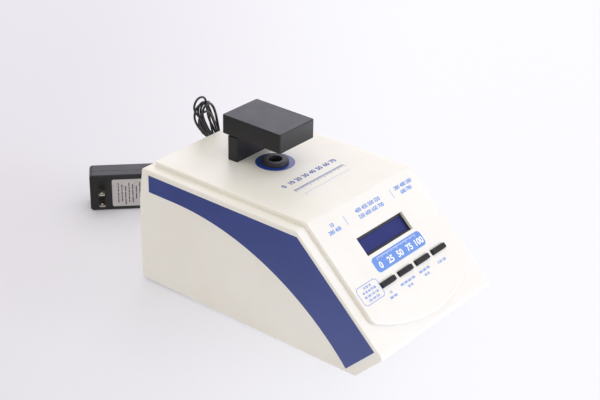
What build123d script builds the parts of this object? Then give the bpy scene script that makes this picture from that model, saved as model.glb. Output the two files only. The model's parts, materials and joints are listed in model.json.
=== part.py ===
from build123d import *
import math
import os

# A bench meter for spectacle lenses. A lens is laid in the gap under a sensor head, over a lamp
# in the flat top of a console case. Millimetres; +Z up, -Y to the operator, origin on the table
# under the middle of the whole instrument.

# Case, outside
case_width = 168.0
case_depth = 286.6
rim_height = 118.0
top_depth = 190.0
nose_height = 29.0
toe_setback = 29.0
knee_height = 84.0
rear_lean = 4.6
wall = 3.0
toe_radius = 3.0
nose_radius = 4.0
ridge_radius = 6.0
rear_radius = 3.0
knee_radius = 15.0
rim_edge_radius = 1.5

# Raised panel, one bent field over the flat top and the slope
panel_step = 4.4
side_rim = 11.0
rear_rim = 5.0
nose_rim = 9.6
panel_end_radius = 136.0
panel_corner_radius = 8.0
panel_rear_corner = 3.0
panel_bend_radius = 6.0
panel_edge_radius = 1.2

# Navy label on the left side
sweep_edge = 3.4
sweep_top_margin = 5.1
sweep_rear_margin = 13.3
sweep_toe_margin = 9.8
sweep_band = 17.2
sweep_straight = 31.7
sweep_radius = 270.0

# Display window and buttons, measured down the slope from the raised ridge
window_width = 67.0
window_height = 18.5
window_down = 42.5
button_count = 4
button_pitch = 25.4
button_row_shift = 7.2
button_down = 79.6
button_length = 19.8
button_width = 4.6
button_proud = 2.2
button_travel = 1.0
button_gap = 0.4
button_edge = 0.4
button_flange = 1.2
button_flange_thickness = 1.2
stem_diameter = 4.0

# Light aperture and the head over it
aperture_behind_ridge = 95.1
aperture_hole = 19.0
aperture_bore = 12.6
ring_label_diameter = 37.2
label_thickness = 0.2
grommet_diameter = 26.0
grommet_lip = 3.4
grommet_round = 1.5
grommet_mouth = 0.9
head_width = 48.5
head_depth = 70.0
head_height = 18.5
head_overhang = 26.1
head_wall = 2.2
head_corner_radius = 2.0
head_edge_radius = 0.9
lens_gap = 25.1
lid_thickness = 2.5
lid_gap = 0.2
post_thickness = 11.4
post_behind_aperture = 25.5
post_neck_height = 1.2
post_neck_inset = 1.6
post_corner_radius = 0.8
post_thread = 8.0
post_screw_spread = 29.1
cable_hole = 5.0
pillar_size = 6.0
pillar_thread = 6.6
small_screw_diameter = 2.5
small_head_diameter = 4.4
small_head_height = 1.2
small_head_sink = 1.2
small_screw_length = 7.0

# Lamp under the aperture
lamp_tube_diameter = 26.0
lamp_tube_length = 40.0
lamp_flange_diameter = 38.0
lamp_flange_thickness = 4.2
lamp_bore = 14.0
window_disc_diameter = 18.0
window_disc_thickness = 2.0
window_disc_depth = 8.0
led_diameter = 5.0
led_height = 8.6
led_flange = 0.4
led_flange_height = 1.0
led_tip = 0.02
led_spacing = 6.6

# Base plate, feet and fixings
foot_height = 2.0
foot_diameter = 12.0
foot_edge = 0.5
foot_side_inset = 16.0
foot_end_inset = 25.6
plate_thickness = 2.0
plate_gap = 0.4
plate_corner = 2.0
block_size = 12.0
block_height = 14.0
block_thread = 7.0
screw_diameter = 3.0
screw_head_diameter = 5.6
screw_head_height = 1.7
screw_head_edge = 0.5
screw_hole = 3.4
screw_spare = 0.5
seat_clearance = 0.1

# Boards
board_thickness = 1.6
main_board_width = 100.0
main_board_depth = 70.0
main_board_behind_ridge = 58.0
standoff_height = 8.0
standoff_width = 5.5
board_screw_inset = 4.0
board_screw_length = 5.0
stud_diameter = 6.0
stud_floor = 1.0
display_board_width = 80.0
display_board_height = 36.0
display_screw_inset = 2.5
display_frame_width = 71.2
display_frame_height = 24.2
display_frame_thickness = 5.4
display_skin = 0.8
display_frame_edge = 0.5
display_layer_gap = 0.1
display_view_width = 64.6
display_view_height = 14.6
display_glass_thickness = 2.2
display_gap = 0.3
switch_size = 12.0
switch_height = 6.0
switch_corner = 0.8
switch_board_height = 20.0
switch_board_margin = 12.0
switch_clearance = 3.5
sensor_board_width = 34.0
sensor_board_depth = 24.0
sensor_stud_height = 6.0
sensor_stud_diameter = 5.0
sensor_stud_inset = 3.0
sensor_screw_diameter = 2.0
sensor_screw_length = 5.0
sensor_head_diameter = 3.8
sensor_head_height = 1.2
sensor_disc_diameter = 15.6
sensor_disc_thickness = 1.2
photodiode_diameter = 8.0
photodiode_height = 3.0
photodiode_brim = 0.6
photodiode_spacing = 10.0
socket_size = (36.0, 10.0, 4.0)
chip_size = (35.0, 7.4, 3.6)
chip_notch = 1.2
regulator_size = (10.2, 4.5, 9.0)
regulator_tab = (10.2, 1.3, 6.0)
regulator_hole = 3.6
regulator_legs = 4.5
regulator_leg_width = 0.8
regulator_leg_depth = 0.6
regulator_pitch = 2.54
regulator_place = (-30.0, 22.0)
capacitor_places = [(-15.0, 20.0, 8.0, 11.0), (-2.0, 20.0, 10.0, 14.0)]
connector_depth = 5.0
connector_height = 6.0
ribbon_connector_width = 24.0
lead_connector_width = 8.0
ribbon_width = 18.0
ribbon_thickness = 1.0
ribbon_bend = 6.0
ribbon_out = 14.0
sensor_cable_diameter = 3.0
sensor_cable_ahead = 6.0
sensor_cable_rise = 4.2
sensor_cable_low = 46.0
sensor_cable_turn = 60.0
sensor_cable_bends = [2.4, 5.0, 12.0, 12.0]
inner_lead_diameter = 2.4
inner_lead_bend = 6.0
lamp_lead_low = 16.0
lamp_lead_turn = 26.0
jack_lead_run = 16.0
jack_lead_behind = 10.0
jack_lead_high = 14.0
jack_lead_turn = 12.0

# Connectors on the main board, by the lead that ends in each: x and y from the board's middle
connector_offsets = {
    "display": (0.0, -26.0),
    "switches": (27.0, -26.0),
    "sensor": (30.0, 14.0),
    "lamp": (14.0, 26.0),
    "power": (-14.0, 30.0),
}

# Power inlet, plug and lead
jack_x = 0.0
jack_height = 20.0
jack_lip = 1.5
jack_lip_diameter = 11.0
jack_thread = 8.0
jack_bore = 5.9
jack_pin = 1.9
jack_pin_back = 1.0
jack_depth = 10.0
jack_tail = 6.0
jack_body_diameter = 10.0
jack_body_length = 8.5
jack_nut_thickness = 2.4
plug_barrel = 5.5
plug_bore = 2.1
plug_barrel_length = 9.5
plug_barrel_hold = 6.0
plug_gap = 0.5
plug_grip_diameter = 10.5
plug_grip_length = 18.0
plug_grip_edge = 0.8
plug_grip_slope = 1.2
plug_grip_flat = 0.6
plug_grip_flat_share = 0.6
plug_relief_step = 1.6
plug_relief_length = 14.0
plug_relief_end = 3.4
plug_relief_grooves = 4
relief_groove_depth = 0.5
relief_groove_share = 0.35
cord_diameter = 2.2
hank_width = 20.0
hank_thickness = 11.6
tie_height = 5.0
tie_thickness = 0.8
tie_gap = 0.3
tie_share = 0.36

# Middle line of the lead as (x, distance behind the rear wall, z): from the plug down to the
# table and round to the foot of the hank
lead_in_points = [
    (2.0, 57.3, 15.5),
    (5.0, 64.3, 5.5),
    (12.0, 67.3, 1.3),
    (21.5, 64.3, 1.2),
    (28.5, 55.3, 1.2),
    (30.0, 43.3, 1.3),
    (27.5, 31.3, 2.2),
    (23.0, 18.9, 6.5),
]

# The tied hank, which stands on the table and leans on the rear wall
hank_points = [
    (24.0, 13.7, 1.2),
    (24.5, 10.3, 42.0),
    (21.5, 7.0, 80.0),
    (14.5, 3.0, 118.0),
    (4.0, -1.2, 156.0),
]

# From the foot of the hank to the adapter's end
lead_out_points = [
    (29.5, 18.9, 6.0),
    (38.5, 22.3, 2.0),
    (50.5, 26.3, 1.2),
    (62.5, 33.0, 1.2),
    (71.5, 43.3, 1.2),
    (73.5, 54.8, 3.0),
    (70.5, 64.8, 10.5),
]
lead_straight = 14.3
lead_out_straight = 11.0

# Wall adapter, stood on its long edge behind the case
adapter_length = 72.0
adapter_height = 40.5
adapter_thickness = 28.0
adapter_front_share = 12.0
adapter_radius = 3.5
adapter_face_radius = 2.8
adapter_seam = 0.4
adapter_lip_inset = 1.5
adapter_turn = -43.6
adapter_x = -22.7
adapter_behind_case = 136.9
blade_from_end = 12.5
blade_pitch = 12.7
blade_width = 6.35
blade_thickness = 1.5
blade_length = 16.5
blade_hold = 3.0
blade_hole = 3.2
blade_tip = 1.6
adapter_label_length = 44.0
adapter_label_height = 31.0
adapter_label_from_end = 23.0
adapter_label_corner = 2.0
adapter_relief_length = 18.0
adapter_relief_diameter = 8.0
adapter_relief_grooves = 5

# Places worked out from the sizes above
half_width = case_width / 2
slope_angle = math.atan2(rim_height - nose_height, case_depth - top_depth)
toe_angle = math.atan2(nose_height, toe_setback)
nose_spread = math.cos((slope_angle - toe_angle) / 2) / math.sin((slope_angle + toe_angle) / 2)
nose_cut = nose_radius * (nose_spread - 1)
y_front = -(case_depth + nose_cut + jack_lip) / 2
y_rear = y_front + case_depth
z_case = foot_height
z_rim = z_case + rim_height
z_panel = z_rim + panel_step
y_ridge = y_rear - top_depth
y_aperture = y_ridge + aperture_behind_ridge
z_head = z_panel + lens_gap
y_head = y_aperture - head_overhang + head_depth / 2
y_post = y_aperture + post_behind_aperture + post_thickness / 2
z_plate = z_case + plate_thickness
y_main_board = y_ridge + main_board_behind_ridge
z_main_board = z_plate + standoff_height
z_main_top = z_main_board + board_thickness
z_connector_top = z_main_top + connector_height
z_lamp_board = z_panel - wall - lamp_tube_length
z_head_lid = z_head + lid_thickness
z_sensor_board = z_head_lid + sensor_stud_height
z_jack = z_case + jack_height
y_jack_body = y_rear - jack_depth - jack_tail
y_plug = y_rear + jack_lip + plug_gap
display_depth = wall + display_gap
display_board_depth = display_depth + display_frame_thickness
switch_board_depth = (
    wall + display_gap + button_flange_thickness + button_travel + switch_clearance + switch_height
)
switch_board_length = (button_count - 1) * button_pitch + switch_size + 2 * switch_board_margin
y_adapter = y_rear + adapter_behind_case


def inset_polygon(corners, distances):
    """Corners of a clockwise polygon after its sides have moved inwards by a distance each."""
    if isinstance(distances, (int, float)):
        distances = [distances] * len(corners)
    sides = []
    for start, end, distance in zip(corners, corners[1:] + corners[:1], distances):
        along = (Vector(*end) - Vector(*start)).normalized()
        sides.append((Vector(*start) + Vector(along.Y, -along.X) * distance, along))
    moved = []
    for (first, u), (second, v) in zip(sides[-1:] + sides[:-1], sides):
        between = second - first
        reach = (between.X * v.Y - between.Y * v.X) / (u.X * v.Y - u.Y * v.X)
        moved.append(tuple(first + u * reach)[:2])
    return moved


def case_corners(drop=0.0):
    """Side view of the case as (y, z): toe, nose, ridge, rear top, knee, rear foot."""
    toe_run = toe_setback * (1 + drop / nose_height)
    return [
        (y_front + toe_run, z_case - drop),
        (y_front, z_case + nose_height),
        (y_ridge, z_rim),
        (y_rear - rear_lean, z_rim),
        (y_rear, z_case + knee_height),
        (y_rear, z_case - drop),
    ]


raised_corners = inset_polygon(case_corners(), -panel_step)
slope_run = Vector(*raised_corners[1]) - Vector(*raised_corners[2])
slope_down = slope_run.normalized()
panel_slope_length = slope_run.length - panel_step
panel_plane = Plane(
    origin=(0, raised_corners[2][0], raised_corners[2][1]),
    x_dir=(1, 0, 0),
    z_dir=(0, slope_down.Y, -slope_down.X),
)


def on_slope(x, down, depth, shape):
    """Place a shape on the slope: down from the raised ridge, depth below the panel's face."""
    return panel_plane * Location((x, -down, -depth)) * shape


def case_block(inset=0.0, drop=0.0):
    radii = [toe_radius, nose_radius, ridge_radius, rear_radius, knee_radius, rear_radius]
    outline = FilletPolyline(
        *inset_polygon(case_corners(drop), inset),
        radius=[max(radius - inset, 0) for radius in radii],
        close=True,
    )
    return extrude(Plane.YZ * make_face(outline), half_width - inset, both=True)


def panel_block(inset=0.0):
    """The bent slab of the raised panel, with its curved lower end."""
    outer = inset_polygon(case_corners(), inset - panel_step)
    inner = inset_polygon(case_corners(), 2 * wall)
    y_end = y_rear - rear_lean - rear_rim - inset
    side = FilletPolyline(
        outer[1], outer[2], (y_end, outer[2][1]), (y_end, inner[2][1]), inner[2], inner[1],
        radius=[0, panel_bend_radius - inset, 0, 0, 0, 0],
        close=True,
    )
    half = half_width - side_rim - inset
    slab = extrude(Plane.YZ * make_face(side), half, both=True)
    end_radius = panel_end_radius - inset
    middle = nose_rim + inset - panel_slope_length
    shoulder = middle + end_radius - math.sqrt(end_radius**2 - half**2)
    field = make_face(
        [
            Line((-half, case_depth), (-half, shoulder)),
            ThreePointArc((-half, shoulder), (0, middle), (half, shoulder)),
            Line((half, shoulder), (half, case_depth)),
            Line((half, case_depth), (-half, case_depth)),
        ]
    )
    field = fillet(field.vertices().sort_by(Axis.Y)[:2], panel_corner_radius - inset)
    return slab & extrude(panel_plane * field, case_depth, both=True)


def rounded_panel():
    block = panel_block()
    rear = block.edges().filter_by(Axis.Z).sort_by(Axis.Y)[-2:]
    block = fillet(rear, panel_rear_corner)
    face_edges = block.faces().filter_by(lambda face: face.normal_at().Z > 0.5).edges()
    bend = panel_bend_radius
    border = [
        edge
        for edge in face_edges
        if abs(edge.center().X) > 1 or abs(edge.center().Y - y_ridge) > 2 * bend
    ]
    return fillet(border, panel_edge_radius)


def rounded_case():
    block = case_block()
    sides = block.faces().filter_by(Axis.X)
    return fillet(sides.edges(), rim_edge_radius)


def button_places():
    first = button_row_shift - (button_count - 1) / 2 * button_pitch
    return [first + index * button_pitch for index in range(button_count)]


def post_screw_places():
    return [(side * post_screw_spread / 2, y_post) for side in (-1, 1)]


def case_cavity():
    return case_block(wall, drop=4 * wall) + panel_block(wall)


def case_shell():
    shell = rounded_case() + rounded_panel() - case_cavity()
    window = extrude(Rectangle(window_width, window_height), 3 * wall, both=True)
    shell -= on_slope(0, window_down, 0, window)
    hole = RectangleRounded(
        button_length + 2 * button_gap, button_width + 2 * button_gap, button_edge
    )
    for x in button_places():
        shell -= on_slope(x, button_down, 0, extrude(hole, 3 * wall, both=True))
    shell -= Pos(0, y_aperture, z_panel) * Cylinder(aperture_hole / 2, 4 * wall)
    for x, y in post_screw_places():
        shell -= Pos(x, y, z_panel) * Cylinder(screw_hole / 2, 4 * wall)
    shell -= Pos(0, y_post, z_panel) * Cylinder(cable_hole / 2, 4 * wall)
    shell -= Pos(jack_x, y_rear, z_jack) * Rot(X=90) * Cylinder(jack_thread / 2, 4 * wall)
    return shell


def side_label():
    """The navy sweep along the left side, from the top rear corner down to the toe."""
    toe, nose, ridge = case_corners()[:3]
    margins = [sweep_toe_margin, sweep_edge, sweep_top_margin, sweep_rear_margin, 0]
    field = inset_polygon([toe, nose, ridge, (y_rear, z_rim), (y_rear, z_case)], margins)
    z_low = z_rim - sweep_top_margin - sweep_band
    y_bend = y_rear - sweep_rear_margin - sweep_straight
    face = make_face(Polyline(*field, close=True))
    face -= Pos(y_bend, z_low - sweep_radius) * Circle(sweep_radius)
    face -= Pos(y_bend + case_depth / 2, z_low - case_depth / 2) * Rectangle(
        case_depth, case_depth
    )
    return Pos(X=-half_width) * extrude(Plane.YZ * face, -label_thickness)


def ring_label():
    ring = Circle(ring_label_diameter / 2) - Circle(aperture_hole / 2)
    return Pos(0, y_aperture, z_panel) * extrude(ring, label_thickness)


def aperture_grommet():
    """Rubber bush: two lips with a groove between them that takes the panel's edge."""
    outer = grommet_diameter / 2
    bore = aperture_bore / 2
    groove = aperture_hole / 2
    top = label_thickness + grommet_lip
    profile = FilletPolyline(
        (bore, -wall - grommet_lip),
        (outer, -wall - grommet_lip),
        (outer, -wall),
        (groove, -wall),
        (groove, label_thickness),
        (outer, label_thickness),
        (outer, top),
        (bore, top),
        radius=[0, 0, 0, 0, 0, 0, grommet_round, grommet_mouth],
        close=True,
    )
    return Pos(0, y_aperture, z_panel) * revolve(Plane.XZ * make_face(profile), Axis.Z)


def base_plate_limits():
    toe_length = math.hypot(toe_setback, nose_height)
    front = y_front + toe_setback + wall * toe_length / nose_height + plate_gap
    return front, y_rear - wall - plate_gap


def block_places():
    front, rear = base_plate_limits()
    x = half_width - wall - block_size / 2
    y_first = front + block_size
    y_last = rear + plate_gap - block_size / 2
    rows = [y_first, (y_first + y_last) / 2, y_last]
    return [(side * x, y) for side in (-1, 1) for y in rows]


def standoff_places():
    x = main_board_width / 2 - board_screw_inset
    y = main_board_depth / 2 - board_screw_inset
    return [(i * x, y_main_board + j * y) for i in (-1, 1) for j in (-1, 1)]


def countersink(opened=0.0):
    """Cone of a flush screw head; opened makes its seat that much wider all round."""
    taper = (screw_head_diameter - screw_diameter) / 2
    cone = Cone(screw_head_diameter / 2 + opened, screw_diameter / 2 + opened, taper)
    return Pos(Z=taper / 2) * cone


def base_plate():
    front, rear = base_plate_limits()
    width = case_width - 2 * wall - 2 * plate_gap
    outline = RectangleRounded(width, rear - front, plate_corner)
    plate = Pos(0, (front + rear) / 2, z_case) * extrude(outline, plate_thickness)
    for x, y in block_places() + standoff_places():
        plate -= Pos(x, y, z_case + plate_thickness / 2) * Cylinder(
            screw_hole / 2, 2 * plate_thickness
        )
        plate -= Pos(x, y, z_case) * countersink(opened=seat_clearance)
    return plate


def flush_screw(length):
    """Countersunk screw, head downwards, its face at z = 0."""
    shank = Pos(Z=length / 2) * Cylinder(screw_diameter / 2, length)
    return shank + countersink()


def pan_screw(length):
    """Pan-head screw pointing down, its head resting on z = 0."""
    head = Pos(Z=screw_head_height / 2) * Cylinder(screw_head_diameter / 2, screw_head_height)
    head = chamfer(head.edges().group_by(Axis.Z)[-1], screw_head_edge)
    return head + Pos(Z=-length / 2) * Cylinder(screw_diameter / 2, length)


def mounting_blocks():
    """Blocks bonded inside the side walls; the base plate is screwed up into them."""
    blocks = []
    for x, y in block_places():
        block = Pos(x, y, z_plate + block_height / 2) * Box(block_size, block_size, block_height)
        block -= Pos(x, y, z_plate) * Cylinder(screw_diameter / 2, 2 * block_thread)
        blocks.append(block)
    return Compound(children=blocks)


def base_screws():
    length = plate_thickness + block_thread - screw_spare
    return Compound(children=[Pos(x, y, z_case) * flush_screw(length) for x, y in block_places()])


def rubber_feet():
    front, rear = base_plate_limits()
    feet = []
    for x in (-half_width + foot_side_inset, half_width - foot_side_inset):
        for y in (front + foot_end_inset, rear - foot_end_inset):
            foot = Pos(Z=foot_height / 2) * Cylinder(foot_diameter / 2, foot_height)
            foot = chamfer(foot.edges().group_by(Axis.Z)[0], foot_edge)
            feet.append(Pos(x, y, 0) * foot)
    return Compound(children=feet)


def lamp_housing():
    """Flanged tube bonded under the panel, with a seat for the clear disc and the lip."""
    top = z_panel - wall
    seat = window_disc_depth
    profile = Polyline(
        (lamp_bore / 2, -lamp_tube_length),
        (lamp_tube_diameter / 2, -lamp_tube_length),
        (lamp_tube_diameter / 2, -lamp_flange_thickness),
        (lamp_flange_diameter / 2, -lamp_flange_thickness),
        (lamp_flange_diameter / 2, 0),
        (grommet_diameter / 2 + display_gap, 0),
        (grommet_diameter / 2 + display_gap, -grommet_lip),
        (window_disc_diameter / 2 + seat_clearance, -grommet_lip),
        (window_disc_diameter / 2 + seat_clearance, -seat),
        (lamp_bore / 2, -seat),
        close=True,
    )
    return Pos(0, y_aperture, top) * revolve(Plane.XZ * make_face(profile), Axis.Z)


def lamp_window():
    z = z_panel - wall - window_disc_depth + window_disc_thickness / 2
    return Pos(0, y_aperture, z) * Cylinder(window_disc_diameter / 2, window_disc_thickness)


def lamp_board():
    z = z_lamp_board - board_thickness / 2
    return Pos(0, y_aperture, z) * Cylinder(lamp_tube_diameter / 2, board_thickness)


def led(height):
    """Domed 5 mm lamp with its flange, standing on z = 0."""
    radius = led_diameter / 2
    profile = FilletPolyline(
        (0, 0),
        (radius + led_flange, 0),
        (radius + led_flange, led_flange_height),
        (radius, led_flange_height),
        (radius, height),
        (0, height),
        radius=[0, 0, 0, 0, radius - led_tip, 0],
        close=True,
    )
    return revolve(Plane.XZ * make_face(profile), Axis.Z)


def standing_leds(x_places):
    lamps = [Pos(x, y_aperture, z_lamp_board) * led(led_height) for x in x_places]
    return Compound(children=lamps)


def head_post():
    """Upright behind the lens gap: a thick bar with a small neck under the head."""
    height = lens_gap - post_neck_height
    bar = Pos(Z=height / 2) * Box(head_width, post_thickness, height)
    bar = fillet(bar.edges().filter_by(Axis.Z), post_corner_radius)
    neck_width = head_width - 2 * post_neck_inset
    neck_depth = post_thickness - 2 * post_neck_inset
    bar += Pos(Z=height + post_neck_height / 2) * Box(neck_width, neck_depth, post_neck_height)
    bar -= Pos(Z=lens_gap / 2) * Cylinder(cable_hole / 2, 2 * lens_gap)
    post = Pos(0, y_post, z_panel) * bar
    for x, y in post_screw_places():
        post -= Pos(x, y, z_panel) * Cylinder(screw_diameter / 2, 2 * post_thread)
        post -= Pos(x, y, z_head) * Cylinder(screw_diameter / 2, 2 * post_thread)
    return post


def post_screws():
    """Two screws up through the panel into the post, two down through the head's lid."""
    up_length = wall + post_thread - screw_spare
    down_length = lid_thickness + post_thread - screw_spare
    screws = []
    for x, y in post_screw_places():
        screws.append(Pos(x, y, z_panel - wall) * Rot(X=180) * pan_screw(up_length))
        screws.append(Pos(x, y, z_head_lid) * pan_screw(down_length))
    return Compound(children=screws)


def head_pillar_places():
    x = (head_width - pillar_size) / 2 - head_wall
    y = (head_depth - pillar_size) / 2 - head_wall
    return [(i * x, y_head + j * y) for i in (-1, 1) for j in (-1, 1)]


def head_shell():
    """Moulded box, open underneath, with corner pillars for the lid's screws."""
    box = Pos(Z=head_height / 2) * Box(head_width, head_depth, head_height)
    box = fillet(box.edges().filter_by(Axis.Z), head_corner_radius)
    box = fillet(box.edges().group_by(Axis.Z)[-1], head_edge_radius)
    cavity_height = head_height - head_wall
    cavity = Pos(Z=cavity_height / 2) * Box(
        head_width - 2 * head_wall, head_depth - 2 * head_wall, cavity_height
    )
    shell = Pos(0, y_head, z_head) * (box - cavity)
    pillar_height = cavity_height - lid_thickness
    z_pillar = z_head_lid + pillar_height / 2
    for x, y in head_pillar_places():
        shell += Pos(x, y, z_pillar) * Box(pillar_size, pillar_size, pillar_height)
    for x, y in head_pillar_places():
        shell -= Pos(x, y, z_head_lid) * Cylinder(small_screw_diameter / 2, 2 * pillar_thread)
    return shell


def sensor_stud_places():
    x = sensor_board_width / 2 - sensor_stud_inset
    return [(side * x, y_aperture) for side in (-1, 1)]


def head_lid():
    """Plate set flush into the underside, with the light opening and two studs."""
    width = head_width - 2 * head_wall - 2 * lid_gap
    depth = head_depth - 2 * head_wall - 2 * lid_gap
    lid = Pos(0, y_head, z_head + lid_thickness / 2) * Box(width, depth, lid_thickness)
    for x, y in sensor_stud_places():
        z = z_head_lid + sensor_stud_height / 2
        lid += Pos(x, y, z) * Cylinder(sensor_stud_diameter / 2, sensor_stud_height)
        lid -= Pos(x, y, z_sensor_board) * Cylinder(
            sensor_screw_diameter / 2, 2 * sensor_screw_length
        )
    lid -= Pos(0, y_aperture, z_head) * Cylinder(aperture_bore / 2, 4 * lid_thickness)
    lid -= Pos(0, y_aperture, z_head_lid) * Cylinder(
        sensor_disc_diameter / 2, 2 * sensor_disc_thickness
    )
    lid -= Pos(0, y_post, z_head) * Cylinder(cable_hole / 2, 4 * lid_thickness)
    for x, y in post_screw_places():
        lid -= Pos(x, y, z_head) * Cylinder(screw_hole / 2, 4 * lid_thickness)
    for x, y in head_pillar_places():
        lid -= Pos(x, y, z_head) * Cylinder(
            small_screw_diameter / 2 + seat_clearance, 4 * lid_thickness
        )
        lid -= Pos(x, y, z_head) * Cylinder(
            small_head_diameter / 2 + display_gap, 2 * small_head_sink
        )
    return lid


def head_lid_screws():
    """Four small screws set below the lid's face."""
    screws = []
    for x, y in head_pillar_places():
        screw = Pos(Z=-small_head_height / 2) * Cylinder(small_head_diameter / 2, small_head_height)
        screw += Pos(Z=small_screw_length / 2) * Cylinder(
            small_screw_diameter / 2, small_screw_length
        )
        screws.append(Pos(x, y, z_head + small_head_sink) * screw)
    return Compound(children=screws)


def sensor_window():
    z = z_head_lid - sensor_disc_thickness / 2
    radius = sensor_disc_diameter / 2 - seat_clearance
    return Pos(0, y_aperture, z) * Cylinder(radius, sensor_disc_thickness)


def sensor_board():
    z = z_sensor_board + board_thickness / 2
    board = Pos(0, y_aperture, z) * Box(sensor_board_width, sensor_board_depth, board_thickness)
    for x, y in sensor_stud_places():
        board -= Pos(x, y, z) * Cylinder(
            sensor_screw_diameter / 2 + seat_clearance, 2 * board_thickness
        )
    return board


def sensor_board_screws():
    screws = []
    for x, y in sensor_stud_places():
        screw = Pos(Z=sensor_head_height / 2) * Cylinder(
            sensor_head_diameter / 2, sensor_head_height
        )
        screw += Pos(Z=-sensor_screw_length / 2) * Cylinder(
            sensor_screw_diameter / 2, sensor_screw_length
        )
        screws.append(Pos(x, y, z_sensor_board + board_thickness) * screw)
    return Compound(children=screws)


def photodiode(side):
    """Metal can under the sensor board, facing down through the window."""
    radius = photodiode_diameter / 2
    brim = Pos(Z=(photodiode_height - photodiode_brim) / 2) * Cylinder(
        radius + photodiode_brim, photodiode_brim
    )
    can = Cylinder(radius, photodiode_height) + brim
    z = z_sensor_board - photodiode_height / 2
    return Pos(side * photodiode_spacing / 2, y_aperture, z) * can


def display_screw_places():
    x = display_board_width / 2 - display_screw_inset
    y = display_board_height / 2 - display_screw_inset
    return [(i * x, window_down + j * y) for i in (-1, 1) for j in (-1, 1)]


def switch_screw_places():
    x = switch_board_length / 2 - board_screw_inset
    y = switch_board_height / 2 - board_screw_inset
    return [
        (button_row_shift + i * x, button_down + j * y) for i in (-1, 1) for j in (-1, 1)
    ]


def panel_studs():
    """Pillars bonded to the panel's underside: four for the display, four for the switches.

    Each ends on the inner face of the case wherever that lies.
    """
    cavity = case_cavity()
    studs = []
    groups = [
        (display_screw_places(), display_board_depth),
        (switch_screw_places(), switch_board_depth),
    ]
    for places, depth in groups:
        height = depth - wall
        stud = Pos(Z=-height / 2) * Cylinder(stud_diameter / 2, height)
        stud -= Pos(Z=-height) * Cylinder(screw_diameter / 2, 2 * (height - stud_floor))
        for x, down in places:
            studs.append(on_slope(x, down, wall, stud) & cavity)
    return Compound(children=studs)


def panel_screws():
    screws = []
    groups = [
        (display_screw_places(), display_board_depth),
        (switch_screw_places(), switch_board_depth),
    ]
    for places, depth in groups:
        reach = depth - wall - stud_floor - screw_spare
        length = board_thickness + min(board_screw_length, reach)
        for x, down in places:
            screws.append(
                on_slope(x, down, depth + board_thickness, Rot(X=180) * pan_screw(length))
            )
    return Compound(children=screws)


def display_board():
    board = Pos(Z=-board_thickness / 2) * Box(
        display_board_width, display_board_height, board_thickness
    )
    board = on_slope(0, window_down, display_board_depth, board)
    for x, down in display_screw_places():
        hole = Cylinder(screw_hole / 2, 4 * board_thickness)
        board -= on_slope(x, down, display_board_depth, hole)
    return board


def display_frame():
    """Pressed steel frame that holds the display's glass to its board."""
    thickness = display_frame_thickness
    frame = Pos(Z=-thickness / 2) * Box(display_frame_width, display_frame_height, thickness)
    frame = fillet(frame.edges().group_by(Axis.Z)[-1], display_frame_edge)
    inside = thickness - display_skin
    frame -= Pos(Z=-display_skin - inside / 2) * Box(
        display_frame_width - 2 * display_skin, display_frame_height - 2 * display_skin, inside
    )
    frame -= Box(display_view_width, display_view_height, 4 * display_skin)
    return on_slope(0, window_down, display_depth, frame)


def display_layer(top, thickness):
    """A layer inside the display's frame, a hair narrower than the frame's inside."""
    width = display_frame_width - 2 * display_skin - 2 * display_layer_gap
    height = display_frame_height - 2 * display_skin - 2 * display_layer_gap
    layer = Pos(Z=-thickness / 2) * Box(width, height, thickness)
    return on_slope(0, window_down, display_depth + top, layer)


def button(x):
    """Key cap with its retaining flange and the stem that enters the switch."""
    cap_height = button_proud + wall + display_gap
    cap = Pos(Z=button_proud - cap_height / 2) * Box(button_length, button_width, cap_height)
    cap = fillet(cap.edges().filter_by(Axis.Z), button_edge)
    cap = fillet(cap.edges().group_by(Axis.Z)[-1], button_edge)
    flange_top = -wall - display_gap
    cap += Pos(Z=flange_top - button_flange_thickness / 2) * Box(
        button_length + 2 * button_flange, button_width + 2 * button_flange,
        button_flange_thickness,
    )
    stem_top = flange_top - button_flange_thickness
    stem_length = button_travel + switch_clearance + switch_height / 3
    cap += Pos(Z=stem_top - stem_length / 2) * Cylinder(stem_diameter / 2, stem_length)
    return on_slope(x, button_down, 0, cap)


def switch_bodies():
    """Push switches on their board, each open at the top for the key's stem."""
    switches = []
    body = Pos(Z=switch_height / 2) * Box(switch_size, switch_size, switch_height)
    body = fillet(body.edges().filter_by(Axis.Z), switch_corner)
    well = switch_height / 3 + button_travel + display_gap
    body -= Pos(Z=switch_height) * Cylinder(stem_diameter / 2 + display_gap, 2 * well)
    for x in button_places():
        switches.append(on_slope(x, button_down, switch_board_depth, body))
    return Compound(children=switches)


def switch_board():
    board = Pos(Z=-board_thickness / 2) * Box(
        switch_board_length, switch_board_height, board_thickness
    )
    board = on_slope(button_row_shift, button_down, switch_board_depth, board)
    for x, down in switch_screw_places():
        hole = Cylinder(screw_hole / 2, 4 * board_thickness)
        board -= on_slope(x, down, switch_board_depth, hole)
    return board


def main_board():
    z = z_main_board + board_thickness / 2
    board = Pos(0, y_main_board, z) * Box(main_board_width, main_board_depth, board_thickness)
    for x, y in standoff_places():
        board -= Pos(x, y, z) * Cylinder(screw_hole / 2, 2 * board_thickness)
    return board


def main_standoffs():
    pillars = []
    pillar = extrude(RegularPolygon(standoff_width / 2, 6, major_radius=False), standoff_height)
    pillar -= Pos(Z=standoff_height / 2) * Cylinder(screw_diameter / 2, 2 * standoff_height)
    for x, y in standoff_places():
        pillars.append(Pos(x, y, z_plate) * pillar)
    return Compound(children=pillars)


def main_board_screws():
    """Four screws up through the base plate and four down through the board."""
    reach = standoff_height / 2 - screw_spare
    screws = []
    for x, y in standoff_places():
        screws.append(Pos(x, y, z_case) * flush_screw(plate_thickness + reach))
        screws.append(Pos(x, y, z_main_top) * pan_screw(board_thickness + reach))
    return Compound(children=screws)


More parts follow.
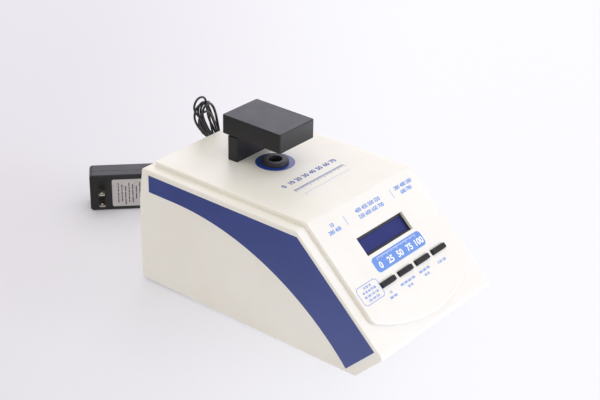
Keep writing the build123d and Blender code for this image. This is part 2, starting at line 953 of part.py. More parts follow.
def controller_chip():
    """Long dual-row chip in its socket."""
    socket = Pos(Z=socket_size[2] / 2) * Box(*socket_size)
    chip = Box(*chip_size)
    chip -= Pos(chip_size[0] / 2, 0, chip_size[2] / 2) * Cylinder(chip_notch, chip_notch)
    chip = Pos(Z=socket_size[2] + chip_size[2] / 2) * chip
    return Pos(0, y_main_board, z_main_top) * (socket + chip)


def voltage_regulator():
    """Upright regulator: three legs, a moulded body and a drilled tab."""
    depth = regulator_size[1]
    height = regulator_size[2]
    part = Pos(Z=regulator_legs + height / 2) * Box(*regulator_size)
    tab = Pos(Z=regulator_tab[2] / 2) * Box(*regulator_tab)
    tab -= Pos(Z=regulator_tab[2] / 2) * Rot(X=90) * Cylinder(regulator_hole / 2, depth)
    part += Pos(0, (depth - regulator_tab[1]) / 2, regulator_legs + height) * tab
    leg = Box(regulator_leg_width, regulator_leg_depth, regulator_legs)
    for step in (-regulator_pitch, 0, regulator_pitch):
        part += Pos(step, 0, regulator_legs / 2) * leg
    x, y = regulator_place
    return Pos(x, y_main_board + y, z_main_top) * part


def capacitors():
    cans = []
    for x, y, diameter, height in capacitor_places:
        can = Pos(Z=height / 2) * Cylinder(diameter / 2, height)
        can = chamfer(can.edges().group_by(Axis.Z)[-1], screw_head_edge)
        cans.append(Pos(x, y_main_board + y, z_main_top) * can)
    return Compound(children=cans)


def connector_place(name):
    x, y = connector_offsets[name]
    return x, y_main_board + y


def board_connectors():
    bodies = []
    for name in connector_offsets:
        x, y = connector_place(name)
        flat = name in ("display", "switches")
        width = ribbon_connector_width if flat else lead_connector_width
        body = Box(width, connector_depth, connector_height)
        bodies.append(Pos(x, y, z_main_top + connector_height / 2) * body)
    return Compound(children=bodies)


def pipe(points, radius, bend):
    """Round lead along straight runs joined by tangent arcs."""
    path = FilletPolyline(*points, radius=bend)
    start = Plane(origin=path @ 0, z_dir=path % 0)
    return sweep(start * Circle(radius), path=path)


def slope_ribbon(name, down, board_depth):
    """Flat lead from the back of a board behind the slope down to its connector."""
    x, y = connector_place(name)
    depth = board_depth + board_thickness
    start = on_slope(x, down, depth, Vertex(0, 0, 0)).center()
    out = on_slope(x, down, depth + ribbon_out, Vertex(0, 0, 0)).center()
    over = Vector(x, y, (out.Z + z_connector_top) / 2)
    path = FilletPolyline(start, out, over, Vector(x, y, z_connector_top), radius=ribbon_bend)
    section = Plane(origin=path @ 0, x_dir=(1, 0, 0), z_dir=path % 0)
    return sweep(section * Rectangle(ribbon_width, ribbon_thickness), path=path)


def sensor_cable():
    """From the sensor board down through the post and the case to its connector."""
    x, y = connector_place("sensor")
    y_start = y_aperture + sensor_cable_ahead
    z_board = z_sensor_board + board_thickness
    points = [
        (0, y_start, z_board),
        (0, y_start, z_board + sensor_cable_rise),
        (0, y_post, z_board + sensor_cable_rise),
        (0, y_post, z_panel - sensor_cable_low),
        (x, y, z_panel - sensor_cable_turn),
        (x, y, z_connector_top),
    ]
    return pipe(points, sensor_cable_diameter / 2, sensor_cable_bends)


def lamp_leads():
    x, y = connector_place("lamp")
    z_board = z_lamp_board - board_thickness
    points = [
        (0, y_aperture, z_board),
        (0, y_aperture, z_board - lamp_lead_low),
        (x, y, z_board - lamp_lead_turn),
        (x, y, z_connector_top),
    ]
    return pipe(points, inner_lead_diameter / 2, inner_lead_bend)


def jack_leads():
    x, y = connector_place("power")
    bends = [inner_lead_bend, inner_lead_bend * 2 / 3, inner_lead_bend * 2 / 3]
    points = [
        (jack_x, y_jack_body, z_jack),
        (jack_x, y_jack_body - jack_lead_run, z_jack),
        (x, y + jack_lead_behind, z_connector_top + jack_lead_high),
        (x, y, z_connector_top + jack_lead_turn),
        (x, y, z_connector_top),
    ]
    return pipe(points, inner_lead_diameter / 2, bends)


def along_rear(y, shape):
    """Place a shape modelled along +Z so that it points out of the rear wall from y."""
    return Pos(jack_x, y, z_jack) * Rot(X=-90) * shape


def cylinder_up(radius, height):
    return Pos(Z=height / 2) * Cylinder(radius, height)


def dc_jack():
    """Inlet for the low-voltage plug: lip outside, thread through the wall, body inside."""
    inside = y_rear - y_jack_body
    body = cylinder_up(jack_body_diameter / 2, jack_body_length)
    body += cylinder_up(jack_thread / 2, inside)
    body += Pos(Z=inside) * cylinder_up(jack_lip_diameter / 2, jack_lip)
    mouth = inside + jack_lip - jack_depth
    body -= Pos(Z=mouth) * cylinder_up(jack_bore / 2, jack_depth)
    body += Pos(Z=mouth) * cylinder_up(jack_pin / 2, jack_depth - jack_pin_back)
    return along_rear(y_jack_body, body)


def dc_jack_nut():
    outline = RegularPolygon(jack_lip_diameter / 2, 6, major_radius=False)
    nut = extrude(outline, jack_nut_thickness)
    nut -= cylinder_up(jack_thread / 2, jack_nut_thickness)
    return along_rear(y_rear - wall - jack_nut_thickness, nut)


def plug_barrel_tube():
    """Hollow contact of the plug, pushed into the jack."""
    tube = cylinder_up(plug_barrel / 2, plug_barrel_length + plug_barrel_hold)
    tube -= cylinder_up(plug_bore / 2, plug_barrel_length)
    return along_rear(y_plug - plug_barrel_length, tube)


def strain_relief(start_radius, end_radius, length, grooves):
    """Tapered strain relief cut by ring grooves, along +Z from z = 0."""
    cone = Pos(Z=length / 2) * Cone(start_radius, end_radius, length)
    pitch = length / (grooves + 1)
    width = pitch * relief_groove_share
    for index in range(1, grooves + 1):
        z = index * pitch
        radius = start_radius + (end_radius - start_radius) * z / length
        ring = Cylinder(2 * start_radius, width) - Cylinder(radius - relief_groove_depth, width)
        cone -= Pos(Z=z) * ring
    return cone


def plug_grip():
    """Moulded grip of the plug with its ribbed strain relief."""
    radius = plug_grip_diameter / 2
    grip = cylinder_up(radius, plug_grip_length)
    grip = chamfer(grip.edges().group_by(Axis.Z)[0], plug_grip_edge)
    grip = chamfer(grip.edges().group_by(Axis.Z)[-1], plug_grip_slope)
    flat = Box(radius, 2 * radius, plug_grip_length * plug_grip_flat_share)
    for side in (-1, 1):
        grip -= Pos(side * (radius * 1.5 - plug_grip_flat), 0, plug_grip_length / 2) * flat
    relief = strain_relief(
        radius - plug_relief_step, plug_relief_end / 2, plug_relief_length, plug_relief_grooves
    )
    grip += Pos(Z=plug_grip_length) * relief
    grip -= cylinder_up(plug_barrel / 2, plug_barrel_hold)
    return along_rear(y_plug, grip)


def behind_case(points):
    return [(x, y_rear + behind, z) for x, behind, z in points]


cord_exit = Vector(jack_x, y_plug + plug_grip_length + plug_relief_length, z_jack)
lead_in_route = [
    tuple(cord_exit),
    tuple(cord_exit + Vector(0, lead_straight, 0)),
    *behind_case(lead_in_points),
]
hank_route = behind_case(hank_points)

adapter_plane = Plane(
    origin=(adapter_x, y_adapter, 0),
    x_dir=(math.cos(math.radians(adapter_turn)), math.sin(math.radians(adapter_turn)), 0),
    z_dir=(0, 0, 1),
)


def adapter_axis(beyond):
    """A point on the axis of the adapter's lead, beyond the adapter's end."""
    place = Pos(adapter_length + beyond, adapter_thickness / 2, adapter_height / 2)
    return tuple((adapter_plane * place).position)


lead_out_route = [
    *behind_case(lead_out_points),
    adapter_axis(adapter_relief_length + lead_out_straight),
    adapter_axis(adapter_relief_length),
]


def bend_radii(route):
    """Each arc's radius: 0.45 of the shorter run over the tangent of half the turn."""
    radii = []
    for before, at, after in zip(route, route[1:], route[2:]):
        run_in = Vector(*at) - Vector(*before)
        run_out = Vector(*after) - Vector(*at)
        half_turn = math.radians(run_in.get_angle(run_out)) / 2
        radii.append(0.45 * min(run_in.length, run_out.length) / math.tan(half_turn))
    return radii


def lead_tube(name, route):
    radii = bend_radii(route)
    tube = pipe(route, cord_diameter / 2, radii)
    length = FilletPolyline(*route, radius=radii).length
    section = math.pi * cord_diameter**2 / 4
    print(name, "bend radii", [round(radius, 1) for radius in radii])
    print(name, "length", round(length, 1), "volume", round(tube.volume, 1), "against",
          round(section * length, 1))
    return tube


def cord_hank():
    """Outer shape of the tied turns of the lead."""
    path = FilletPolyline(*hank_route, radius=bend_radii(hank_route))
    start = Plane(origin=path @ 0, x_dir=(1, 0, 0), z_dir=path % 0)
    return sweep(start * SlotOverall(hank_width, hank_thickness), path=path)


def cord_tie():
    """Band round the hank, below the middle of its height."""
    path = FilletPolyline(*hank_route, radius=bend_radii(hank_route))
    middle = Plane(origin=path @ tie_share, x_dir=(1, 0, 0), z_dir=path % tie_share)
    outside = tie_gap + tie_thickness
    inner = SlotOverall(hank_width + 2 * tie_gap, hank_thickness + 2 * tie_gap)
    outer = SlotOverall(hank_width + 2 * outside, hank_thickness + 2 * outside)
    return extrude(middle * (outer - inner), tie_height / 2, both=True)


def adapter_half(y_low, y_high):
    """One half of the adapter's moulding, rounded away from the seam."""
    depth = y_high - y_low
    half = Pos(adapter_length / 2, (y_low + y_high) / 2, adapter_height / 2) * Box(
        adapter_length, depth, adapter_height
    )
    half = fillet(half.edges().filter_by(Axis.Y), adapter_radius)
    outer = half.faces().sort_by(Axis.Y)[0 if y_low == 0 else -1]
    return fillet(outer.edges(), adapter_face_radius)


def adapter_front():
    half = adapter_half(0, adapter_front_share - adapter_seam / 2)
    for height in blade_heights():
        slot = Pos(blade_from_end, 0, height) * Box(blade_width, 2 * blade_hold, blade_thickness)
        half -= slot
    return adapter_plane * half


def adapter_back():
    half = adapter_half(adapter_front_share + adapter_seam / 2, adapter_thickness)
    half += Pos(adapter_length / 2, adapter_front_share, adapter_height / 2) * Box(
        adapter_length - 2 * adapter_lip_inset, adapter_seam, adapter_height - 2 * adapter_lip_inset
    )
    return adapter_plane * half


def blade_heights():
    return [adapter_height / 2 + side * blade_pitch / 2 for side in (-1, 1)]


def adapter_blades():
    blades = []
    length = blade_length + blade_hold
    for height in blade_heights():
        blade = Pos(blade_from_end, blade_hold - length / 2, height) * Box(
            blade_width, length, blade_thickness
        )
        tip = blade.edges().filter_by(Axis.Z).sort_by(Axis.Y)[:2]
        blade = fillet(tip, blade_tip)
        blade -= Pos(blade_from_end, blade_hole - blade_length, height) * Cylinder(
            blade_hole / 2, 2 * blade_thickness
        )
        blades.append(adapter_plane * blade)
    return Compound(children=blades)


def adapter_label():
    label = RectangleRounded(adapter_label_length, adapter_label_height, adapter_label_corner)
    plate = extrude(Plane.XZ * label, label_thickness)
    x = adapter_label_from_end + adapter_label_length / 2
    return adapter_plane * Pos(x, 0, adapter_height / 2) * plate


def adapter_relief():
    relief = strain_relief(
        adapter_relief_diameter / 2,
        plug_relief_end / 2,
        adapter_relief_length,
        adapter_relief_grooves,
    )
    place = Pos(adapter_length, adapter_thickness / 2, adapter_height / 2) * Rot(Y=90)
    return adapter_plane * place * relief


def sub_parts():
    parts = {
        "case_shell": case_shell(),
        "side_label": side_label(),
        "ring_label": ring_label(),
        "base_plate": base_plate(),
        "mounting_blocks": mounting_blocks(),
        "base_screws": base_screws(),
        "rubber_feet": rubber_feet(),
        "aperture_grommet": aperture_grommet(),
        "lamp_housing": lamp_housing(),
        "lamp_window": lamp_window(),
        "lamp_board": lamp_board(),
        "uv_led": standing_leds([-led_spacing / 2]),
        "white_led": standing_leds([led_spacing / 2]),
        "head_post": head_post(),
        "post_screws": post_screws(),
        "head_shell": head_shell(),
        "head_lid": head_lid(),
        "head_lid_screws": head_lid_screws(),
        "sensor_window": sensor_window(),
        "sensor_board": sensor_board(),
        "sensor_board_screws": sensor_board_screws(),
        "uv_photodiode": photodiode(-1),
        "visible_photodiode": photodiode(1),
        "display_frame": display_frame(),
        "display_glass": display_layer(display_skin, display_glass_thickness),
        "display_backlight": display_layer(
            display_skin + display_glass_thickness,
            display_frame_thickness - display_skin - display_glass_thickness,
        ),
        "display_board": display_board(),
        "panel_studs": panel_studs(),
        "panel_screws": panel_screws(),
        "switch_bodies": switch_bodies(),
        "switch_board": switch_board(),
        "main_board": main_board(),
        "main_standoffs": main_standoffs(),
        "main_board_screws": main_board_screws(),
        "controller_chip": controller_chip(),
        "voltage_regulator": voltage_regulator(),
        "capacitors": capacitors(),
        "board_connectors": board_connectors(),
        "display_ribbon": slope_ribbon("display", window_down, display_board_depth),
        "switch_ribbon": slope_ribbon("switches", button_down, switch_board_depth),
        "sensor_cable": sensor_cable(),
        "lamp_leads": lamp_leads(),
        "jack_leads": jack_leads(),
        "dc_jack": dc_jack(),
        "dc_jack_nut": dc_jack_nut(),
        "plug_barrel": plug_barrel_tube(),
        "plug_grip": plug_grip(),
        "cord_lead_in": lead_tube("cord_lead_in", lead_in_route),
        "cord_hank": cord_hank(),
        "cord_tie": cord_tie(),
        "cord_lead_out": lead_tube("cord_lead_out", lead_out_route),
        "adapter_front": adapter_front(),
        "adapter_back": adapter_back(),
        "adapter_blades": adapter_blades(),
        "adapter_label": adapter_label(),
        "adapter_relief": adapter_relief(),
    }
    for number, x in enumerate(button_places(), start=1):
        parts[f"button_{number}"] = button(x)
    return parts


os.makedirs("parts", exist_ok=True)
for node, shape in sub_parts().items():
    export_step(shape, f"parts/{node}.step")
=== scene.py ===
# %% [markdown]
# # A bench meter for spectacle lenses
#
# The object is an ivory console case with a sloped front. A lens is laid on a rubber grommet in the
# flat top, a lamp shines up through it, and a black head on a post measures what comes through. The
# CAD model brings every rigid piece in its real place. This script gives those pieces their real
# finishes and adds what CAD leaves plain: the lead with its tied turns, the printing and the display.

# %% Load the model
import json
import math

import bmesh
import bpy
from mathutils import Matrix, Vector


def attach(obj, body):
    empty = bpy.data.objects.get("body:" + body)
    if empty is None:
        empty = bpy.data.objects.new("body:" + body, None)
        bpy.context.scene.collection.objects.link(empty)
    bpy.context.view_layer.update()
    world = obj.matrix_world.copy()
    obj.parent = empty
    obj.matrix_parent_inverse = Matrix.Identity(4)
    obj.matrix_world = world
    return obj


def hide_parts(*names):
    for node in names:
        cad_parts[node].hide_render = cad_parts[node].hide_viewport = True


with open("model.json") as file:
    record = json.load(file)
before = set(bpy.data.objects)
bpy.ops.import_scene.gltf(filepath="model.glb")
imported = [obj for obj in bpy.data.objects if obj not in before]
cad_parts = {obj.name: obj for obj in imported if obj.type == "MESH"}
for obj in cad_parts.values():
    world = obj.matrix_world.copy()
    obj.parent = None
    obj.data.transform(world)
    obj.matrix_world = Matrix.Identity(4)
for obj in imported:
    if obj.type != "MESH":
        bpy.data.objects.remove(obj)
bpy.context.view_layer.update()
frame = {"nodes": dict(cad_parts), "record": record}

nodes = frame["nodes"]
MM = 0.001
print("pieces from CAD:", len(nodes))


def in_metres(points):
    return [tuple(value * MM for value in point) for point in points]


# %% [markdown]
# ## The camera
#
# The picture looks down on the left front corner from about two metres away. A long lens keeps the
# case's edges nearly parallel. The camera is built from three angles instead of a target point,
# because a slight roll has to be kept as well.

# %% Place the camera
camera_place = Vector((-908.3, -716.3, 706.5)) * MM
camera_azimuth = math.radians(-51.115)
camera_pitch = math.radians(27.65)
camera_roll = math.radians(1.152)
camera_lens = 85.52

camera_data = bpy.data.cameras.new("camera")
camera_data.lens = camera_lens
camera_data.sensor_width = 36.0
camera_data.clip_start = 0.05
camera_data.clip_end = 50.0
camera = bpy.data.objects.new("camera", camera_data)
bpy.context.scene.collection.objects.link(camera)

looking = Vector((
    -math.sin(camera_azimuth) * math.cos(camera_pitch),
    math.cos(camera_azimuth) * math.cos(camera_pitch),
    -math.sin(camera_pitch),
))
level = looking.cross(Vector((0, 0, 1))).normalized()
upright = level.cross(looking)
side = level * math.cos(camera_roll) + upright * math.sin(camera_roll)
above = upright * math.cos(camera_roll) - level * math.sin(camera_roll)
camera.matrix_world = Matrix((
    (side.x, above.x, -looking.x, camera_place.x),
    (side.y, above.y, -looking.y, camera_place.y),
    (side.z, above.z, -looking.z, camera_place.z),
    (0, 0, 0, 1),
))
bpy.context.scene.camera = camera
print("camera looks along", [round(value, 3) for value in looking])

# %% [markdown]
# ## The lead
#
# The adapter's lead is about 2.2 m of limp two-core cable, 2.2 mm across. Most of it is folded into
# a hank that stands behind the case. One curve makes all of it: a NURBS line drawn through few
# points bends like a real cable, where many points would only repeat their own corners. The runs on
# the table take listed points, and a loop works out the turns of the hank.

# %% Points of the lead outside the hank
cord_diameter = 2.2 * MM
cord_exit = (0.0, 175.6625, 22.0)
lead_in = [
    cord_exit,
    (0.0, 188.0, 22.0),
    (2.0, 199.0, 15.5),
    (5.0, 206.0, 5.5),
    (12.0, 209.0, 1.3),
    (21.5, 205.5, 1.2),
    (28.0, 196.0, 1.2),
    (30.0, 185.0, 1.3),
    (29.5, 174.5, 1.4),
    (31.5, 166.5, 5.0),
]
lead_out = [
    (39.5, 151.8, 1.2),
    (50.5, 158.0, 1.2),
    (61.0, 167.5, 1.2),
    (69.5, 178.0, 1.2),
    (73.8, 188.5, 1.4),
    (74.0, 198.0, 4.5),
    (70.5, 207.0, 11.0),
]
adapter_corner = Vector((-22.7, 278.5625, 0.0))
adapter_turn = math.radians(-43.6)
adapter_along = Vector((math.cos(adapter_turn), math.sin(adapter_turn), 0.0))
adapter_across = Vector((-math.sin(adapter_turn), math.cos(adapter_turn), 0.0))
adapter_size = (72.0, 28.0, 40.5)
relief_length = 18.0


def on_adapter(along, across, height):
    """A point given in the adapter's own directions, in millimetres."""
    return adapter_corner + adapter_along * along + adapter_across * across + Vector((0, 0, height))


for beyond in (11.0, 0.0):
    end = on_adapter(
        adapter_size[0] + relief_length + beyond, adapter_size[1] / 2, adapter_size[2] / 2
    )
    lead_out.append(tuple(end))
print("points outside the hank:", len(lead_in) + len(lead_out))

# %% [markdown]
# The hank has six turns. It stands on the table behind the rear wall, rests against the rear edge
# of the flat top and curls over to the left above it. Each turn lies in a layer of its own, a little
# more than one diameter nearer to the wall than the last, so no turn cuts another. Each has its own
# width, height and slack, as hand-folded turns have: one stands up over the rest, one hangs out at
# the left.

# %% Points of the turns
hank_foot = Vector((27.6, 157.1))
hank_rest = 14.9
hank_height = 156.0
hank_bow = 6.5
curl_reach, curl_start, curl_length = 41.2, 85.2, 109.0
layer_step = 2.35
foot_fold = 7.6
floor_gap = 1.2
fold_reach = 20.0
foot_reach = 46.0
slack_height, slack_spread = 126.0, 10.0
fold_roundness = 1.05
run_heights = [16.0, 28.0, 46.0, 70.0, 94.0, 112.0, 124.0, 134.0, 143.0]
hank_turns = [
    # half width of the runs, their shift, half width of the top fold, its height, its shift, the
    # slack to the left and to the right
    (2.0, 0.7, 10.0, 147.3, 1.0, 5.9, 0.9),
    (5.7, 2.4, 7.1, 149.1, 3.8, 5.5, 0.6),
    (3.4, 1.9, 7.5, 148.8, 5.2, 7.0, 5.7),
    (2.3, -1.5, 8.5, 161.1, 0.7, 3.1, 0.4),
    (2.2, 0.5, 7.8, 149.8, 3.4, 4.7, 4.0),
    (2.5, -2.7, 8.7, 149.6, -5.8, 6.4, 0.5),
]


def smooth(share):
    share = min(max(share, 0.0), 1.0)
    return share * share * (3 - 2 * share)


def hank_middle(height):
    """Where the hank's middle line stands across the case at a height."""
    bow = hank_bow * math.sin(math.pi * min(height / hank_height, 1.0))
    return hank_foot.x + bow - curl_reach * smooth((height - curl_start) / curl_length)


def hank_point(height, across, out):
    """A point of the hank: up its middle line, across its width and out of its face."""
    lean = math.atan(hank_middle(height + 0.5) - hank_middle(height - 0.5))
    x = hank_middle(height) + across * math.cos(lean)
    y = hank_foot.y - hank_rest * height / hank_height
    return (x, y + out, max(height - across * math.sin(lean), cord_diameter / 2 / MM))


def turn_point(turn, height, side, out):
    """A point of a turn's run on one side: the runs open into the folds and bulge with slack."""
    run, offset, fold, top, shift, slack_left, slack_right = turn
    upper = smooth((height - (top - fold - fold_reach)) / fold_reach)
    lower = smooth((foot_reach - height) / foot_reach)
    width = run + (fold - run) * upper + (foot_fold - run) * lower
    slack = slack_right if side > 0 else slack_left
    width += slack * math.exp(-((height - slack_height) / slack_spread) ** 2)
    middle = offset * smooth((height - 10.0) / 30.0) + (shift - offset) * upper
    return hank_point(height, side * width + middle, out)


hank = []
for number, turn in enumerate(hank_turns):
    run, offset, fold, top, shift, slack_left, slack_right = turn
    out = ((len(hank_turns) - 1) / 2 - number) * layer_step
    heights = [height for height in run_heights if height < top - fold - 6.0]
    for height in heights:
        hank.append(turn_point(turn, height, 1, out))
    for step in range(6):
        angle = math.radians(36 * step)
        across = fold * math.cos(angle) * fold_roundness + shift
        height = top - fold + fold * math.sin(angle) * fold_roundness
        hank.append(hank_point(height, across, out))
    for height in reversed(heights):
        hank.append(turn_point(turn, height, -1, out))
    last = number == len(hank_turns) - 1
    for step in range(4 if last else 6):
        angle = math.radians(180 + 36 * step)
        across = foot_fold * math.cos(angle) * fold_roundness
        height = foot_fold + floor_gap + foot_fold * math.sin(angle) * fold_roundness
        sunk = layer_step * (step + 0.5) / 6
        hank.append(hank_point(height, across, out - sunk))
print("points in the hank:", len(hank))

# %% Draw the lead as one spline
lead_data = bpy.data.curves.new("lead", "CURVE")
lead_data.dimensions = "3D"
lead_line = lead_data.splines.new("NURBS")
route = in_metres(lead_in + hank + lead_out)
lead_line.points.add(len(route) - 1)
for point, place in zip(lead_line.points, route):
    point.co = (*place, 1.0)
lead_line.order_u = 3
lead_line.use_endpoint_u = True
lead_line.resolution_u = 8
lead_data.bevel_depth = cord_diameter / 2
lead_data.bevel_resolution = 4
lead_data.use_fill_caps = True
lead = bpy.data.objects.new("lead", lead_data)
bpy.context.scene.collection.objects.link(lead)

# %% [markdown]
# ## Finishes
#
# Two helpers carry all finishes. One turns a hex colour, which is written for a screen, into the
# linear values that shader sockets take. The other adds a node, sets it and links it in one call.

# %% Colour and node helpers
def linear(hex_colour, alpha=1.0):
    """A screen colour such as E9E3D6 as linear red, green, blue and alpha."""
    values = []
    for start in (0, 2, 4):
        value = int(hex_colour[start:start + 2], 16) / 255
        values.append(value / 12.92 if value <= 0.04045 else ((value + 0.055) / 1.055) ** 2.4)
    return (*values, alpha)


def add(tree, kind, inputs=None, **settings):
    """Add a node, set its properties, and set or link its inputs by name or number."""
    node = tree.nodes.new(kind)
    for name, value in settings.items():
        setattr(node, name, value)
    for name, value in (inputs or {}).items():
        if isinstance(value, bpy.types.NodeSocket):
            tree.links.new(value, node.inputs[name])
        else:
            node.inputs[name].default_value = value
    return node


# %% [markdown]
# A moulded or painted surface is never one flat colour. Its shade drifts a little over some
# centimetres, its gloss drifts with handling, and under a raking light its grain shows. So each
# finish is made of the same three parts, with its own sizes in millimetres: patches, sheen, grain.

# %% One function for a whole finish
def finish(name, colour, other, roughness, patch=40.0, grain=0.4, depth=0.01, stretch=(1, 1, 1),
           sheen_range=0.08, **sockets):
    """A material whose colour and gloss drift in patches, with a fine grain as bump."""
    material = bpy.data.materials.new(name)
    material.use_nodes = True
    tree = material.node_tree
    shader = tree.nodes["Principled BSDF"]
    place = add(tree, "ShaderNodeTexCoord").outputs["Object"]
    pulled = add(tree, "ShaderNodeMapping", {"Vector": place, "Scale": stretch}).outputs["Vector"]
    patches = add(
        tree, "ShaderNodeTexNoise",
        {"Vector": pulled, "Scale": 1 / (patch * MM), "Detail": 4.0, "Roughness": 0.6},
    ).outputs["Fac"]
    share = add(
        tree, "ShaderNodeMapRange", {"Value": patches, "From Min": 0.38, "From Max": 0.66},
    ).outputs["Result"]
    shade = add(
        tree, "ShaderNodeMix", {0: share, 6: linear(colour), 7: linear(other)}, data_type="RGBA",
    ).outputs[2]
    gloss = add(
        tree, "ShaderNodeMapRange",
        {
            "Value": patches, "From Min": 0.3, "From Max": 0.7,
            "To Min": roughness - sheen_range / 2, "To Max": roughness + sheen_range / 2,
        },
    ).outputs["Result"]
    height = add(
        tree, "ShaderNodeTexNoise",
        {"Vector": pulled, "Scale": 1 / (grain * MM), "Detail": 2.0, "Roughness": 0.5},
    ).outputs["Fac"]
    bump = add(
        tree, "ShaderNodeBump", {"Height": height, "Strength": 1.0, "Distance": depth * MM},
    ).outputs["Normal"]
    tree.links.new(shade, shader.inputs["Base Color"])
    tree.links.new(gloss, shader.inputs["Roughness"])
    tree.links.new(bump, shader.inputs["Normal"])
    for socket, value in sockets.items():
        shader.inputs[socket.replace("_", " ")].default_value = value
    return material


# %% [markdown]
# The case is ABS sheet, formed and sanded smooth: warm ivory with a soft satin sheen and an almost
# invisible grain. The head, the post and the button caps are black ABS with a fine spark texture,
# which looks mid grey where it mirrors a bright room. The adapter has a coarser grain.

# %% Plastics
looks = {}
looks["abs_ivory"] = finish(
    "abs_ivory_satin", "EEEBE2", "EBE7DD", 0.42, patch=70.0, grain=0.5, depth=0.006, IOR=1.53,
    Subsurface_Weight=0.12, Subsurface_Radius=(0.004, 0.0028, 0.0018), Subsurface_Scale=1.0,
)
looks["abs_black"] = finish(
    "abs_black_spark_texture", "161517", "1B1A1C", 0.42, patch=25.0, grain=0.35, depth=0.012,
    IOR=1.44,
)
looks["adapter_black"] = finish(
    "abs_black_coarse_texture", "141315", "1B1A1C", 0.42, patch=20.0, grain=0.5, depth=0.02,
    IOR=1.48,
)
looks["abs_block"] = finish("abs_offcut", "E2DACB", "D8CFBE", 0.55, grain=0.3, depth=0.02)
looks["chip_black"] = finish("epoxy_moulding", "1B1B1D", "242426", 0.5, grain=0.25, depth=0.01)
looks["connector_white"] = finish("nylon_moulded", "E4DFCF", "DAD3C0", 0.45, grain=0.3)
looks["capacitor_sleeve"] = finish("pvc_sleeve", "1B2748", "22305A", 0.3, grain=0.6)
looks["ribbon_grey"] = finish(
    "pvc_flat_cable", "8E8F92", "7F8083", 0.45, patch=8.0, grain=0.6, depth=0.03,
    stretch=(3, 0.2, 0.2),
)

# %% [markdown]
# The labels are printed vinyl: thicker ink than paint, slightly wavy, with a sheen of its own. The
# silver one on the adapter is a bare metallised film.

# %% Films and inks
looks["vinyl_navy"] = finish(
    "vinyl_print_navy", "314080", "364687", 0.38, patch=60.0, grain=1.2, depth=0.004, IOR=1.4
)
looks["vinyl_blue"] = finish(
    "vinyl_print_blue", "1F3F93", "25479C", 0.32, patch=15.0, grain=1.0, depth=0.004, IOR=1.5
)
looks["label_silver"] = finish(
    "metallised_film", "CCC8C6", "C3BFBE", 0.42, patch=10.0, grain=0.5, depth=0.004, Metallic=0.35
)
ink_pale = finish("ink_pale_blue", "6C93D8", "6890D5", 0.5, patch=12.0, grain=0.4, depth=0.002)
ink_navy = finish("ink_navy", "2E52A6", "3358AB", 0.5, patch=12.0, grain=0.4, depth=0.002)
ink_white = finish("ink_white", "F6F7FA", "F0F2F7", 0.5, patch=12.0, grain=0.4, depth=0.002)
ink_grey = finish("ink_dark_grey", "3F3D42", "47454A", 0.5, patch=12.0, grain=0.4, depth=0.002)

# %% [markdown]
# Rubber scatters light and barely shines. The cable's PVC jacket is smoother, with a narrow
# highlight along each turn, which is what makes the black hank readable.

# %% Rubber and cable
looks["rubber_black"] = finish(
    "rubber_moulded", "2B2829", "343132", 0.5, patch=10.0, grain=0.3, depth=0.01
)
looks["lead_black"] = finish(
    "pvc_jacket_black", "17161A", "1E1D21", 0.36, patch=15.0, grain=0.8, depth=0.006, IOR=1.52
)

# %% [markdown]
# Metals keep the default IOR and take their colour from the base colour. Brushed aluminium is noise
# pulled long in one direction. Zinc plate is a duller, bluish grey, and nickel is warm and bright.

# %% Metals
looks["aluminium_plate"] = finish(
    "aluminium_brushed", "C9CBCE", "BEC0C4", 0.36, patch=12.0, grain=0.5, depth=0.008,
    stretch=(8, 0.1, 8), Metallic=1.0,
)
looks["steel_zinc"] = finish(
    "steel_zinc_plated", "B9BBBE", "A5A8AD", 0.32, patch=3.0, grain=0.3, depth=0.006, Metallic=1.0
)
looks["frame_steel"] = finish(
    "steel_black_lacquer", "2C2A2A", "343231", 0.42, patch=10.0, grain=0.4, depth=0.006
)
looks["brass_plain"] = finish("brass_turned", "C9A660", "BC9850", 0.3, grain=0.3, Metallic=1.0)
looks["nickel_plate"] = finish(
    "nickel_plated_brass", "C6BEB0", "B4AB9B", 0.26, patch=4.0, grain=0.5, depth=0.004, Metallic=1.0
)
looks["can_metal"] = finish("nickel_can", "C4C2BC", "B0AEA8", 0.25, patch=3.0, Metallic=1.0)

# %% [markdown]
# The clear pieces. The display is a negative blue one: its glass shows the backlight only through
# lit characters, so at rest it is a deep blue satin plate.

# %% Clear and lit pieces
looks["clear_acrylic"] = finish(
    "acrylic_clear", "F2F6F7", "EAF0F2", 0.08, grain=2.0, depth=0.001, sheen_range=0.02,
    Transmission_Weight=0.9, IOR=1.49,
)
looks["opal_acrylic"] = finish("acrylic_opal", "EDEFF0", "E4E7E9", 0.3, grain=1.0, depth=0.002)
looks["led_clear"] = finish(
    "epoxy_water_clear", "E4E8F4", "DADFF0", 0.1, grain=1.0, depth=0.001, sheen_range=0.02,
    Transmission_Weight=0.7, IOR=1.54,
)
looks["display_blue"] = finish(
    "display_glass_blue", "272E6A", "2A316E", 0.3, patch=30.0, grain=3.0, depth=0.001,
    sheen_range=0.02, IOR=1.3,
)
looks["circuit_board"] = finish(
    "solder_mask_green", "1E5A34", "2B6E44", 0.35, patch=3.0, grain=0.8, depth=0.01
)

# %% Give every CAD piece its finish
slot_of = {row["node"]: row["material_slot"] for row in frame["record"]["subparts"]}
for name, piece in nodes.items():
    piece.data.materials.clear()
    piece.data.materials.append(looks[slot_of[name]])
lead_data.materials.append(looks["lead_black"])
print("finishes:", len(looks))

# %% [markdown]
# ## The printing
#
# The real slope carries words, which a neutral part doesn't need. Their places hold plain numbers,
# dividing lines and a scale instead. Screen print is a film of ink with a small thickness, so each
# mark is a thin closed slab that stands on the panel, made flat and then laid on the slope.

